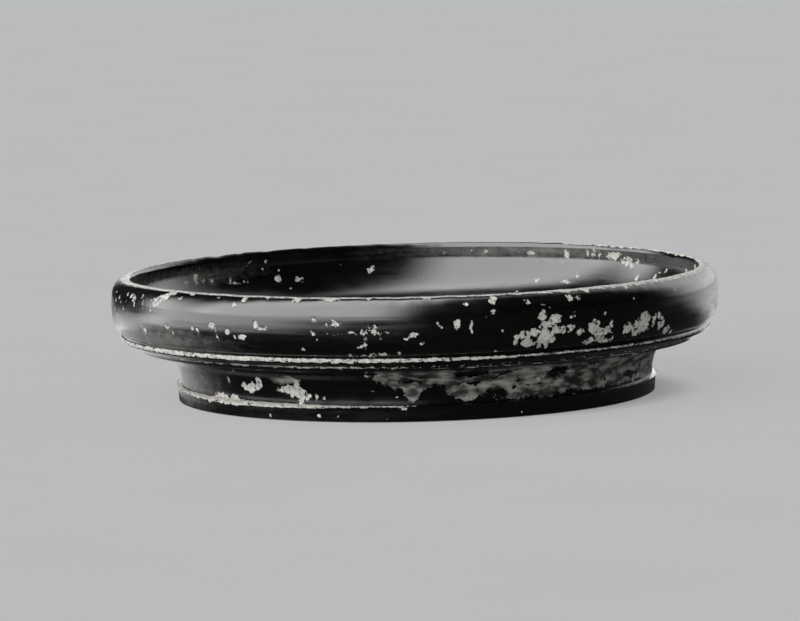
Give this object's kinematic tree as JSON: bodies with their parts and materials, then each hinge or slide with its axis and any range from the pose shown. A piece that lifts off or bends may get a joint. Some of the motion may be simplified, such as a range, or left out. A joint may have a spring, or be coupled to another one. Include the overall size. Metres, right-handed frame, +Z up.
{
  "type": "footed bowl",
  "caption": "Low thick-walled black-gloss bowl with a rounded lip, a ridge under the wall and a moulded ring foot, for holding food or small things.",
  "frame": {"origin": "centre of the foot's resting face", "axes": "+Z up along the bowl's turning axis; the bowl is round, so X and Y are free, and the pictured side faces -Y"},
  "size_m": [0.1502, 0.1502, 0.0307],
  "materials": {
    "fired_clay": "bare fired clay, fine-grained and matt, seen where the gloss is worn or chipped away, on the resting face and inside the foot",
    "joining_slip": "fired joining slip, matt, wiped smooth",
    "black_gloss": "thin fired black gloss, brushed on the turning wheel, worn through on the lip and ridges and flaked in spots"
  },
  "bodies": {
    "root": {"bowl_body": "fired_clay", "foot_ring": "fired_clay", "luting_slip": "joining_slip", "gloss_inside": "black_gloss", "gloss_wall": "black_gloss", "gloss_foot": "black_gloss"}
  },
  "joints": []
}
